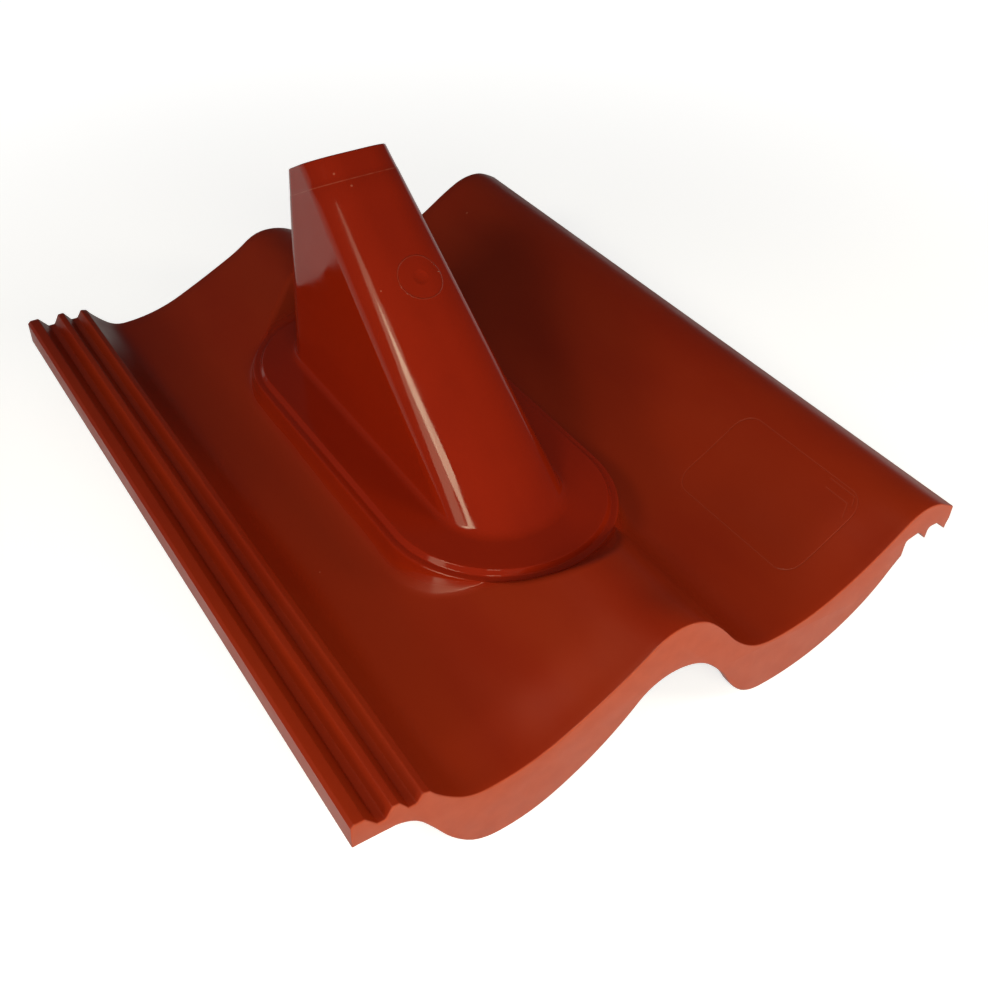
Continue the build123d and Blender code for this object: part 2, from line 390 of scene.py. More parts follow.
def wall_and_sheet(start_radius, start_height, sheet_height, up):
    """Rows from the ledge down or up its wall and out over the sheet to the rectangle."""
    end_radius = meeting_radius(start_radius, start_height, sheet_height, up)
    end_height = sheet_height(on_oval(end_radius)[:, 0])
    length = np.hypot(end_radius - start_radius, end_height - start_height)
    safe = np.maximum(length, SMALL)
    way = ((end_radius - start_radius) / safe, (end_height - start_height) / safe)

    def down_wall(place):
        """Radius and height at a distance along the wall."""
        return start_radius + way[0] * place, start_height + way[1] * place

    top_reach = np.minimum(WALL_TOP_ROUND, TOP_SHARE * length)
    foot_reach = np.where(up, np.minimum(RECESS_TOP_ROUND, RECESS_SHARE * length),
                          np.minimum(WALL_FOOT_ROUND, FOOT_SHARE * length))
    rows = curve_rows((start_radius - top_reach, start_height * ones), (start_radius, start_height * ones),
                      down_wall(top_reach), 4)
    run_end = length - foot_reach
    rows += [radial_row(*down_wall(top_reach + (run_end - top_reach) * share)) for share in (1 / 3, 2 / 3)]
    out_radius = end_radius + foot_reach
    out_height = sheet_height(on_oval(out_radius)[:, 0])
    foot_start = down_wall(run_end)
    flat = np.where(up, 0.0, slope_share)
    corner = (end_radius + flat * ((foot_start[0] + out_radius) / 2 - end_radius),
              end_height + flat * ((foot_start[1] + out_height) / 2 - end_height))
    rows += curve_rows(foot_start, corner, (out_radius, out_height), 8)
    for share in np.linspace(0, 1, OUT_ROWS + 1)[1:]:
        radius = out_radius + (RING_RADIUS - out_radius) * share
        rows.append(radial_row(radius, sheet_height(on_oval(radius)[:, 0])))
    ring = on_oval(RING_RADIUS)
    for share in np.linspace(0, 1, OUT_ROWS + 1)[1:]:
        plan = ring + (rectangle - ring) * share
        rows.append(add_row(np.column_stack((plan, sheet_height(plan[:, 0])))))
    return rows


# %% [markdown]
# ## The plateau and its step
#
# Just inside the ledge the plateau that carries the hood rises by a sloping step. The step is only three
# millimetres high, but its round top and bottom each draw a fine bright line all the way round the plinth, so
# it is part of the mesh and not of the finish.

# %% Plateau, step and ledge of the visible side
STEP_FOOT_RADIUS = 58.4
PLATEAU_RADIUS = 56.6
PLATEAU_HEIGHT = 57.4
STEP_ROUND = 0.9
FLAT_INSIDE = 4.0
FLAT_OUTSIDE = 1.4


def plateau_rows():
    """Rows from the plateau's flat top over its edge and down the step onto the ledge."""
    corners = ((PLATEAU_RADIUS - FLAT_INSIDE, PLATEAU_HEIGHT), (PLATEAU_RADIUS, PLATEAU_HEIGHT),
               (STEP_FOOT_RADIUS, LEDGE_HEIGHT), (STEP_FOOT_RADIUS + FLAT_OUTSIDE, LEDGE_HEIGHT))
    return [radial_row(radius, height) for radius, height in rounded(corners, STEP_ROUND, 5)]


# %% [markdown]
# ## The hood
#
# The hood is a tall hollow box with round corners that leans up the slope and narrows to a small rounded
# rectangle, where the mast leaves it. On a real mould each corner is a slice of a cone. Two rounded rectangles
# with the same number of points, joined by straight lines, give exactly that, and the columns of the plinth
# carry on up the hood, so there is no seam at its foot.

# %% Hood sections
HOOD_BASE_HALF = 33.5
HOOD_BASE_FRONT = 101.0
HOOD_BASE_BACK = 321.0
HOOD_BASE_CORNER = 32.5
HOOD_TOP_WIDTH = 49.3
HOOD_TOP_LENGTH = 45.4
HOOD_TOP_CORNER = 17.0
HOOD_TOP_Y = 295.2
HOOD_TOP_HEIGHT = 173.5
HOOD_LEAN = math.radians(29.5)
HOOD_WALL = 2.8
HOOD_FOOT_ROUND = 4.5
HOOD_FRONT_ROUND = 12.0
HOOD_RIM_ROUND = 0.9
LINE_DROP = 13.5
LINE_STEP = 0.12
LINE_WIDTH = 0.3
HOOD_START = 1.0  # below the plateau, so that the wall crosses it
INNER_ROUND = 0.5
INNER_FOOT_ROUND = 0.8


def rounded_rectangle(width, length, corner):
    """Points and outward directions round a rounded rectangle, in step with the plinth's columns."""
    points, ways = [], []
    half_x, half_y = width / 2 - corner, length / 2 - corner
    for sign in (1, -1):
        for i in range(SIDE_COLUMNS):
            points.append((sign * width / 2, sign * (-half_y + 2 * half_y * i / SIDE_COLUMNS)))
            ways.append((sign, 0.0))
        for first_turn, middle_x, flats in ((0.0, half_x, FLAT_COLUMNS), (math.pi / 2, -half_x, 0)):
            for i in range(CORNER_COLUMNS):
                turn = first_turn + math.pi / 2 * i / CORNER_COLUMNS
                way = (sign * math.cos(turn), sign * math.sin(turn))
                points.append((sign * middle_x + corner * way[0], sign * half_y + corner * way[1]))
                ways.append(way)
            for i in range(flats):
                points.append((sign * (half_x - 2 * half_x * i / flats), sign * length / 2))
                ways.append((0.0, sign))
    return np.array(points), np.array(ways)


def base_section(foot, inset):
    """The level section that the hood starts from."""
    points, ways = rounded_rectangle(2 * (HOOD_BASE_HALF - inset),
                                     HOOD_BASE_BACK - HOOD_BASE_FRONT - 2 * inset, HOOD_BASE_CORNER - inset)
    middle = (HOOD_BASE_FRONT + HOOD_BASE_BACK) / 2
    placed = np.column_stack((PLINTH_X + points[:, 0], middle + points[:, 1], foot * ones))
    return placed, np.column_stack((ways, 0 * ones))


def mouth_section(inset):
    """The leaning section that the hood ends in."""
    points, ways = rounded_rectangle(HOOD_TOP_WIDTH - 2 * inset, HOOD_TOP_LENGTH - 2 * inset,
                                     HOOD_TOP_CORNER - inset)
    along, drop = math.cos(HOOD_LEAN), math.sin(HOOD_LEAN)
    placed = np.column_stack((PLINTH_X + points[:, 0], HOOD_TOP_Y + points[:, 1] * along,
                              HOOD_TOP_HEIGHT - points[:, 1] * drop))
    return placed, np.column_stack((ways[:, 0], ways[:, 1] * along, -ways[:, 1] * drop))


outer_base, base_way = base_section(PLATEAU_HEIGHT - HOOD_START, 0.0)
outer_top, top_way = mouth_section(0.0)
inner_base, _ = base_section(LEDGE_HEIGHT - SHEET - HOOD_START, HOOD_WALL)
inner_top, _ = mouth_section(HOOD_WALL)
rim_normal = np.array([0.0, math.sin(HOOD_LEAN), math.cos(HOOD_LEAN)])
print("Hood top from", np.round(outer_top.min(axis=0), 1), "to", np.round(outer_top.max(axis=0), 1))

# %% [markdown]
# The foot of the hood runs into the plateau with a generous round, largest under the sloping front. How far
# such a round reaches depends on the angle between the wall and the plateau, which changes from the steep
# sides to the flat front, so each column works out its own reach. Near the top a fine parting line runs round
# the hood, and the rim is rounded on both of its edges.

# %% Hood rows


def between(start, end, share):
    """Points part of the way from one row to another, with one share or one for each column."""
    share = np.broadcast_to(np.asarray(share, dtype=float), (COLUMNS,))[:, None]
    return start + (end - start) * share


def at_height(start, end, height):
    """Where the straight lines from start to end pass a height."""
    return between(start, end, (height - start[:, 2]) / (end[:, 2] - start[:, 2]))


def hood_outer_rows():
    """Rows from the plateau up the outside of the hood to its rim, as arrays of points."""
    foot = at_height(outer_base, outer_top, PLATEAU_HEIGHT)
    up = outer_top - foot
    height = np.linalg.norm(up, axis=1)
    up_way = up / height[:, None]
    angle = np.arccos(np.clip((up_way * base_way).sum(axis=1), -1, 1))
    frontness = np.clip(-base_way[:, 1], 0, 1) ** 2
    foot_round = HOOD_FOOT_ROUND + (HOOD_FRONT_ROUND - HOOD_FOOT_ROUND) * frontness
    reach = foot_round * np.tan((math.pi - angle) / 2)
    rows = bend_rows(foot + base_way * reach[:, None], foot, foot + up_way * reach[:, None], 7)
    line_share = 1 - LINE_DROP / (height * (up_way @ rim_normal))
    start = reach / height
    for share in np.linspace(0, 1, 18)[1:]:
        rows.append(between(foot, outer_top, start + (line_share - start) * share))
    side_way = top_way * LINE_STEP
    above = line_share + LINE_WIDTH / height
    top_start = 1 - HOOD_RIM_ROUND / height
    rows.append(between(foot, outer_top, above) - side_way)
    for share in (0.25, 0.5, 0.75):
        rows.append(between(foot, outer_top, above + (top_start - above) * share) - side_way)
    rows += bend_rows(between(foot, outer_top, top_start) - side_way, outer_top - side_way,
                      outer_top - top_way * HOOD_RIM_ROUND - side_way, 5)
    return rows


def hood_inner_rows(under_plateau):
    """Rows from the rim down the inside of the hood to the underside of the plateau."""
    down = inner_base - inner_top
    down_way = down / np.linalg.norm(down, axis=1)[:, None]
    foot = at_height(inner_base, inner_top, under_plateau)
    start, end = inner_top + down_way * INNER_ROUND, foot - down_way * INNER_FOOT_ROUND
    rows = bend_rows(inner_top + top_way * INNER_ROUND, inner_top, start, 3)
    rows += [between(start, end, share) for share in np.linspace(0, 1, 11)[1:-1]]
    return rows + bend_rows(end, foot, foot + base_way * INNER_FOOT_ROUND, 3)


# %% [markdown]
# ## One skin, inside and out
#
# The rows are now laid in order: hood, plateau and ring of the visible side, then the inside of the hood and
# the ring of the underside. Under a trough the wall's inner face is the sheet's thickness further in, and
# under a crest further out, so the few columns between look for the place where the underside has the ledge's
# height.

# %% Visible side and underside round the hood
up_wall = top_height(on_oval(PLINTH_RADIUS)[:, 0]) > LEDGE_HEIGHT
outer_rows = wall_and_sheet(PLINTH_RADIUS * ones, LEDGE_HEIGHT, top_height, up_wall)
hood_rows = [add_row(points) for points in hood_outer_rows()]
step_rows = plateau_rows()
join_rows(hood_rows[::-1] + step_rows + outer_rows, True)

under_ledge = LEDGE_HEIGHT - SHEET
wall_radius = PLINTH_RADIUS - SHEET
recess_radius = PLINTH_RADIUS + SHEET / math.cos(RECESS_DRAFT) - SHEET * math.tan(RECESS_DRAFT)
low_there = under_height(on_oval(wall_radius)[:, 0]) < under_ledge
high_there = under_height(on_oval(recess_radius)[:, 0]) > under_ledge
start_radius = np.full(COLUMNS, wall_radius)
start_radius[high_there] = recess_radius
for column in np.nonzero(~low_there & ~high_there)[0]:
    radii = np.linspace(wall_radius, recess_radius, 60)
    heights = under_height(oval_foot[column, 0] + oval_way[column, 0] * radii)
    start_radius[column] = radii[np.argmin(np.abs(heights - under_ledge))]
under_rows = wall_and_sheet(start_radius, under_ledge, under_height, high_there)
inner_rows = [add_row(points) for points in hood_inner_rows(under_ledge)]
flat_rows = [radial_row(PLATEAU_RADIUS - 2 * FLAT_INSIDE, under_ledge)]
join_rows(inner_rows + flat_rows + under_rows, True)
join_rows([hood_rows[-1], inner_rows[0]], True)
print("Rows: hood", len(hood_rows), "inside", len(inner_rows), "ring", len(outer_rows))

# %% [markdown]
# ## The outer nets, the edges and the front rim
#
# Left and right of the rectangle the sections of the locks give the crosswise points. The front rim is the one
# place where the outline is closed and flat: it follows the wave on top and its own deeper curve below. Its
# edges are rounded by shrinking the outline a little on the way to the front face.

# %% Sections of both sides
LEFT_GAP = 2.2
RIGHT_GAP = 2.4
LOCK_FOOT_RUN = 2.5
UNDER_ROUND = 0.6


def spaced(curve, low, high, gap):
    """Points of a dense curve between two places across, about a gap apart."""
    count = max(2, int(round((high - low) / gap)) + 1)
    across = np.linspace(low, high, count)
    return np.column_stack((across, np.interp(across, curve[:, 0], curve[:, 1])))


def whole_section(lock, curve, right):
    """Left part, right part and whole of a section."""
    left = np.vstack((lock[:-1], spaced(curve, curve[0][0], NET_LEFT, LEFT_GAP)))
    middle = np.column_stack((middle_x, np.interp(middle_x, curve[:, 0], curve[:, 1])))
    return left, right, np.vstack((left[:-1], middle, right[1:]))


def visible_section(curve):
    """The three parts of the visible side's section."""
    return whole_section(lock_section, curve, spaced(curve, NET_RIGHT, WIDTH, RIGHT_GAP))


def under_section(curve):
    """The three parts of the underside's section."""
    first = tuple(curve[0])
    lock = rounded(((0.0, WALL_FOOT), (SHEET, WALL_FOOT), (SHEET, LOCK_UNDER),
                    (first[0] - LOCK_FOOT_RUN, LOCK_UNDER), first), UNDER_ROUND, 2)
    right = np.vstack((spaced(curve, NET_RIGHT, TOOTH_BACK, RIGHT_GAP),
                       ((TOOTH_BACK, TOOTH_ROOT), (WIDTH, TOOTH_ROOT))))
    return whole_section(lock, curve, right)


def net(section, places, front=None):
    """A net of one section along the length, which the front section may turn into over the nose."""
    front = section if front is None else front
    join_rows([add_row(at_y(front + (section - front) * nose_share(y), y)) for y in places], False)


front_y = np.array([RIM_DEPTH, 8.0, 12.0, 16.0, 20.0, 24.0, 29.0, NOSE_END, NET_FRONT])
back_y = np.linspace(NET_BACK, LENGTH - END_ROUND, 6)
sides = ((visible_section, sheet_top, nose_top), (under_section, sheet_under, nose_under))
for section_of, curve, nose_curve in sides:
    left, right, whole = section_of(curve)
    net(whole, front_y, section_of(nose_curve)[2])
    net(left, middle_y)
    net(right, middle_y)
    net(whole, back_y)

top_profile, under_profile = visible_section(nose_top)[2], under_section(nose_under)[2]
all_y = np.concatenate((front_y[:-1], middle_y, back_y[1:]))
for edge in ((top_profile[0], under_profile[0]), (top_profile[-1], under_profile[-1])):
    net(np.array(edge), all_y)
print("Section points: top", len(top_profile), "under", len(under_profile))

# %% [markdown]
# The two teeth end flush with the front face, so their tips belong to the front outline. Between them, and on
# both sides, the root of the lock is a small arch, so each tooth is a sharp cusp. Behind the rim the teeth
# carry on as two long bars of their own.

# %% Front rim, head end and teeth


def unit(ways):
    """Directions of length one."""
    return ways / np.maximum(np.linalg.norm(ways, axis=1), SMALL)[:, None]


def shrunk(outline, amount):
    """A closed outline moved inwards along the middle of each corner."""
    before = outline - np.roll(outline, 1, axis=0)
    after = np.roll(outline, -1, axis=0) - outline
    along = unit(before) + unit(after)
    return outline + unit(np.column_stack((along[:, 1], -along[:, 0]))) * amount


def round_end(outline, y, way, radius, steps=5):
    """Rounds a closed outline off towards one end and caps it; way is -1 for the front, 1 for the head."""
    rows = []
    for turn in np.linspace(0, math.pi / 2, steps + 1):
        rows.append(add_row(at_y(shrunk(outline, radius * (1 - math.cos(turn))),
                                 y + way * radius * math.sin(turn))))
    join_rows(rows, True)
    cap(rows[-1])
    return rows[0]


ARCH_ROUND = 2.0
SIDE_WALL_INNER = 10.0
rim_right = RIM_CURVE[-1]
right_arch = bend_rows((WIDTH, TOOTH_ROOT), (TOOTH_2 + 0.9, TOOTH_ROOT - 2.5), (TOOTH_2, TOOTH_TIP), 4)
middle_arch = rounded(((TOOTH_2, TOOTH_TIP), (TOOTH_1 + 6.5, TOOTH_ROOT), (TOOTH_1 + 1.1, TOOTH_ROOT),
                       (TOOTH_1, TOOTH_TIP)), ARCH_ROUND)
lock_root = rounded(((TOOTH_1, TOOTH_TIP), (TOOTH_1 - 6.0, TOOTH_ROOT - 0.4),
                     (rim_right[0] + 0.5, TOOTH_ROOT - 2.2), (rim_right[0] + 0.2, TOOTH_ROOT - 7.0)),
                    ARCH_ROUND)
lower_right = np.vstack((right_arch, middle_arch[1:], lock_root[1:]))
rim_lower = spaced(rim_curve, RIM_CURVE[0][0], rim_right[0], RIGHT_GAP)[::-1]
lower_left = np.array(((SIDE_WALL_INNER, WALL_FOOT), under_profile[1], under_profile[0]))
front_outline = np.vstack((top_profile, lower_right, rim_lower, lower_left))
front_row = round_end(front_outline, EDGE_ROUND, -1, EDGE_ROUND)
rim_back = add_row(at_y(front_outline, RIM_DEPTH))
join_rows([front_row, rim_back], True)

back_face = np.vstack((lower_right, rim_lower, lower_left[:1], under_profile[1:]))
cap(add_row(at_y(back_face, RIM_DEPTH)))
head_outline = np.vstack((visible_section(sheet_top)[2], under_section(sheet_under)[2][::-1]))
round_end(head_outline, LENGTH - END_ROUND, 1, END_ROUND, 3)


def bar(section, start, end, radius):
    """A closed bar of one section, rounded at both ends."""
    section = np.array(section)
    first = round_end(section, start + radius, -1, radius, 3)
    last = round_end(section, end - radius, 1, radius, 3)
    places = np.linspace(start + radius, end - radius, 12)[1:-1]
    join_rows([first] + [add_row(at_y(section, y)) for y in places] + [last], True)


TUCK = 0.03  # the bars stay just inside the surfaces that they run along
BAR_START = 1.5
BAR_END = LENGTH - 0.2
BAR_ROUND = 0.4
tooth_1_bar = ((TOOTH_1 - 3.4 + TUCK, TOOTH_ROOT + 11.0), (TOOTH_1 + 1.4 - TUCK, TOOTH_ROOT + 11.0),
               (TOOTH_1 + 1.4 - TUCK, TOOTH_ROOT - 1.0), (TOOTH_1, TOOTH_TIP + TUCK),
               (TOOTH_1 - 3.4 + TUCK, TOOTH_ROOT))
tooth_2_bar = ((TOOTH_BACK + TUCK, TOOTH_ROOT + 3.0), (WIDTH - TUCK, TOOTH_ROOT + 3.0),
               (WIDTH - TUCK, TOOTH_ROOT - 0.6), (TOOTH_2, TOOTH_TIP + TUCK),
               (TOOTH_BACK + TUCK, TOOTH_ROOT - 0.4))
for section in (tooth_1_bar, tooth_2_bar):
    bar(section, BAR_START, BAR_END, BAR_ROUND)
print("Front outline points:", len(front_outline))

# %% [markdown]
# ## Nibs under the head
#
# Two blocks under the troughs at the head hook over the batten, each with a thin gusset in front.

# %% Nibs and gussets
NIB_Y = LENGTH - 22.0
NIB_HALF_WIDTH = 11.0
NIB_HALF_DEPTH = 3.5
NIB_ROUND = 1.2
NIB_SINK = 1.5  # how far the nib stops below the trough's visible side, inside the sheet
GUSSET_LIFT = 6.0
GUSSET_RUN = 34.0


def nib(valley_x, valley_height, foot):
    """One nib: a block that widens a little upwards, and its gusset."""
    rows = []
    root = valley_height - NIB_SINK
    for height, grow in ((foot, -0.8), (foot + 0.3, -0.25), (foot + 0.9, 0.0), (root, 1.6)):
        half_x, half_y = NIB_HALF_WIDTH + grow, NIB_HALF_DEPTH + grow
        outline = rounded(((half_x, 0.0), (half_x, half_y), (-half_x, half_y), (-half_x, -half_y),
                           (half_x, -half_y), (half_x, 0.0)), NIB_ROUND, 3)[:-1]
        rows.append(add_row([(valley_x + x, NIB_Y + y, height) for x, y in outline]))
    join_rows(rows, True)
    cap(rows[0])
    cap(rows[-1])
    side = ((NIB_Y - 2.0, foot + GUSSET_LIFT), (NIB_Y - 5.0, foot + GUSSET_LIFT), (NIB_Y - GUSSET_RUN, root),
            (NIB_Y - 2.0, root))
    faces = [add_row([(valley_x + x, y, z) for y, z in side]) for x in (-SHEET / 2, SHEET / 2)]
    join_rows(faces, True)
    cap(faces[0])
    cap(faces[1])


for valley, rim_valley in ((SHEET_WAVE[1], RIM_CURVE[2]), (SHEET_WAVE[5], RIM_CURVE[6])):
    nib(valley[0], valley[1], rim_valley[1])

# %% [markdown]
# ## From points to a mesh
#
# The patches share points, so merging closes the skin. Edges that turn by more than about forty degrees stay
# crisp, and everything else is shaded smooth, as on moulded plastic.

# %% The tile's mesh
SHARP_TURN = math.radians(38.0)
MERGE_GAP = 2e-6


def build_tile():
    """One object with the whole skin."""
    mesh = bpy.data.meshes.new("roof_tile_skin")
    mesh.from_pydata([tuple(p) for p in to_scene(skin_points)], [], skin_faces)
    work = bmesh.new()
    work.from_mesh(mesh)
    bmesh.ops.remove_doubles(work, verts=work.verts, dist=MERGE_GAP)
    bmesh.ops.dissolve_degenerate(work, edges=work.edges, dist=MERGE_GAP / 2)
    bmesh.ops.recalc_face_normals(work, faces=work.faces)
    for edge in work.edges:
        edge.smooth = edge.calc_face_angle(0.0) < SHARP_TURN
    open_edges = sum(len(edge.link_faces) != 2 for edge in work.edges)
    for face in work.faces:
        face.smooth = True
    triangles = sum(len(face.verts) - 2 for face in work.faces)
    print("Tile mesh:", len(work.verts), "points,", triangles, "triangles,", open_edges, "open edges")
    work.to_mesh(mesh)
    work.free()
    return mesh


tile = bpy.data.objects.new("tile_moulding", build_tile())
bpy.context.scene.collection.objects.link(tile)
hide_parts("roof_tile")
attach(tile, "root")

# %% [markdown]
# ## Plastic, coloured through
#
# The tile is moulded from red-brown plastic that is coloured through. One flat colour would look like paper
# cut-out, because real plastic shows what the mould did to it: slow clouds of pigment along the flow, a fine
# spark texture on the sheet, a polished hood and plinth, witness lines of mould inserts and a few dust specks.
# All of that depends on the place on the tile, so the material starts from the point in tile millimetres.

# %% Small helpers for materials


def feed(tree, socket, value):
    """Gives a socket another node's output, a number or a vector."""
    if isinstance(value, bpy.types.NodeSocket):
        tree.links.new(value, socket)
    else:
        socket.default_value = value


def new_node(tree, kind, *values, **settings):
    """A node with its settings given by name and its sockets fed in order."""
    made = tree.nodes.new("ShaderNode" + kind)
    for name, value in settings.items():
        setattr(made, name, value)
    for socket, value in zip(made.inputs, values):
        feed(tree, socket, value)
    return made


def calc(tree, operation, *values):
    """The result of one Math node."""
    return new_node(tree, "Math", *values, operation=operation).outputs[0]


def vector(tree, operation, *values):
    """The result of one Vector Math node: a number for a dot product or a length, else a vector."""
    made = new_node(tree, "VectorMath", *values, operation=operation)
    return made.outputs["Value" if operation in ("DOT_PRODUCT", "LENGTH", "DISTANCE") else "Vector"]


def ramp(tree, value, start, end, low=0.0, high=1.0):
    """A smooth step of value from low at start to high at end."""
    return new_node(tree, "MapRange", value, start, end, low, high,
                    interpolation_type="SMOOTHSTEP").outputs[0]


def clouds(tree, place, scale, detail=2.0):
    """A noise from 0 to 1 at a place."""
    made = new_node(tree, "TexNoise", place)
    made.inputs["Scale"].default_value = scale
    made.inputs["Detail"].default_value = detail
    return made.outputs["Fac"]


def mixed(tree, share, first, second):
    """A colour between two colours."""
    made = new_node(tree, "Mix", data_type="RGBA")
    for name, value in (("Factor", share), ("A", first), ("B", second)):
        feed(tree, made.inputs[name], value)
    return made.outputs["Result"]


def plain_material(name):
    """A new material, its node tree and its shader."""
    material = bpy.data.materials.new(name)
    material.use_nodes = True
    return material, material.node_tree, material.node_tree.nodes["Principled BSDF"]


# %% [markdown]
# ## Where the marks are
#
# A mould leaves thin lines where its loose parts meet. On the right-hand trough a rounded rectangle shows the
# outline of an insert, with a doubled corner mark near its front end, and on the front of the hood a ring with
# a dimple shows the ejector. Each is a distance from a simple figure: the mark is wherever that distance is
# small. Distances are cheap, they need no picture, and the line keeps its width wherever the surface bends.

# %% Distances that draw the marks
INSERT_MIDDLE = (272.5, 67.0, 0.0)
INSERT_CORE = (13.5, 33.0, 0.0)  # half of its straight runs
INSERT_CORNER = 10.0
CORNER_MARKS = (
    ((290.0, 45.0), (290.0, 30.5)),
    ((290.0, 30.5), (284.5, 27.2)),
    ((294.4, 47.0), (294.4, 30.5)),
    ((294.4, 30.5), (290.8, 28.0)),
)
RING_MIDDLE = (156.7, 215.0, 140.2)
EJECTOR_RING = 12.0
EJECTOR_DIMPLE = 4.6
LINE_HALF = 0.4
LINE_CORE = 0.14


def insert_distance(tree, plan):
    """Distance from the outline of the insert, a rounded rectangle in plan."""
    away = vector(tree, "ABSOLUTE", vector(tree, "SUBTRACT", plan, INSERT_MIDDLE))
    beyond = vector(tree, "MAXIMUM", vector(tree, "SUBTRACT", away, INSERT_CORE), (0.0, 0.0, 0.0))
    return calc(tree, "ABSOLUTE", calc(tree, "SUBTRACT", vector(tree, "LENGTH", beyond), INSERT_CORNER))


def stroke_distance(tree, plan, start, end):
    """Distance from a short straight stroke in plan."""
    start, end = Vector((*start, 0.0)), Vector((*end, 0.0))
    stroke = end - start
    from_start = vector(tree, "SUBTRACT", plan, start)
    along = vector(tree, "DOT_PRODUCT", from_start, stroke)
    share = calc(tree, "DIVIDE", along, stroke.length_squared)
    share = calc(tree, "MINIMUM", calc(tree, "MAXIMUM", share, 0.0), 1.0)
    return vector(tree, "DISTANCE", from_start, vector(tree, "MULTIPLY", stroke, share))


def line_at(tree, distance):
    """1 on a line and 0 beside it."""
    return ramp(tree, distance, LINE_HALF, LINE_CORE)


def oval_distance(tree, plan):
    """Distance in plan from the plinth's centre line."""
    on_line = vector(tree, "MAXIMUM", plan, (PLINTH_X, PLINTH_FRONT_Y, 0.0))
    on_line = vector(tree, "MINIMUM", on_line, (PLINTH_X, PLINTH_BACK_Y, 0.0))
    return vector(tree, "DISTANCE", plan, on_line)


# %% [markdown]
# ## Putting the plastic together
#
# The colour, the shine and the fine relief come from the same few masks, so that a mark that catches the light
# is also a little paler. The relief is added up in millimetres and goes through one Bump node. The roughness
# is low on the hood and plinth, where the mould is polished, and higher on the sheet, which is also a touch
# browner. The face of the front rim looks paler and drier because it catches the light and mirrors the bright
# floor in front, and that sheen is painted into its colour.

# %% Colours, shine and relief of the plastic
PLASTIC = (0.25, 0.0125, 0.0018, 1.0)
PLASTIC_SHEET = (0.25, 0.0185, 0.0028, 1.0)
PLASTIC_DEEP = (0.2, 0.0095, 0.0018, 1.0)
PLASTIC_PALE = (0.36, 0.075, 0.04, 1.0)
# Painted sheen: the face of the front rim is given this paler colour for the light it catches and the floor it
# mirrors.
PLASTIC_FRONT_SHEEN = (0.44, 0.072, 0.03, 1.0)
SHEEN_START, SHEEN_END = 0.8, 0.1
LINE_PALE, RING_PALE, PARTING_PALE = 0.14, 0.22, 0.55
GLOSS_LEVEL = 0.32
GLOSS_TINT = (1.0, 0.94, 0.76, 1.0)
SHEET_ROUGH = 0.36
POLISHED_ROUGH = 0.09
POLISHED_OUT, POLISHED_IN = 68.0, 60.0
LINE_RELIEF, RING_RELIEF, DIMPLE_RELIEF, SPECK_RELIEF = -0.09, 0.3, -0.5, 0.05
SLOW_RELIEF, SHEET_SPARK, POLISHED_SPARK = 0.22, 0.011, 0.001
SPECKS = (
    (289.1, 384.8, 65.5, 1.0),
    (138.3, 268.8, 177.9, 0.8),
    (143.8, 260.6, 173.6, 0.8),
    (135.0, 216.7, 137.8, 0.5),
    (60.0, 150.0, float(top_height(60.0)), 0.5),
    (238.0, 300.0, float(top_height(238.0)), 0.6),
)


def mark_masks(tree, place, plan, upward):
    """Masks of the insert lines, the ejector ring with its dimple, and the hood's parting line."""
    lines = line_at(tree, insert_distance(tree, plan))
    for start, end in CORNER_MARKS:
        lines = calc(tree, "MAXIMUM", lines, line_at(tree, stroke_distance(tree, plan, start, end)))
    lines = calc(tree, "MULTIPLY", lines, ramp(tree, upward, 0.2, 0.5))
    from_ring = vector(tree, "DISTANCE", place, RING_MIDDLE)
    ring = line_at(tree, calc(tree, "ABSOLUTE", calc(tree, "SUBTRACT", from_ring, EJECTOR_RING)))
    out = ramp(tree, from_ring, 0.0, EJECTOR_DIMPLE)
    dimple = calc(tree, "SUBTRACT", 1.0, calc(tree, "MULTIPLY", out, out))
    rim_height = vector(tree, "DOT_PRODUCT",
                             vector(tree, "SUBTRACT", place, (PLINTH_X, HOOD_TOP_Y, HOOD_TOP_HEIGHT)),
                             tuple(rim_normal))
    parting = line_at(tree, calc(tree, "ABSOLUTE", calc(tree, "ADD", rim_height, LINE_DROP)))
    broken = ramp(tree, clouds(tree, place, 0.2), 0.3, 0.6, 0.3, 1.0)
    return lines, ring, dimple, calc(tree, "MULTIPLY", parting, broken)


def speck_mask(tree, place):
    """A few small specks of dust."""
    specks = 0.0
    for x, y, z, radius in SPECKS:
        away = vector(tree, "DISTANCE", place, (x, y, z))
        specks = calc(tree, "MAXIMUM", specks, ramp(tree, away, radius, radius * 0.5))
    return specks


# %% Plastic material


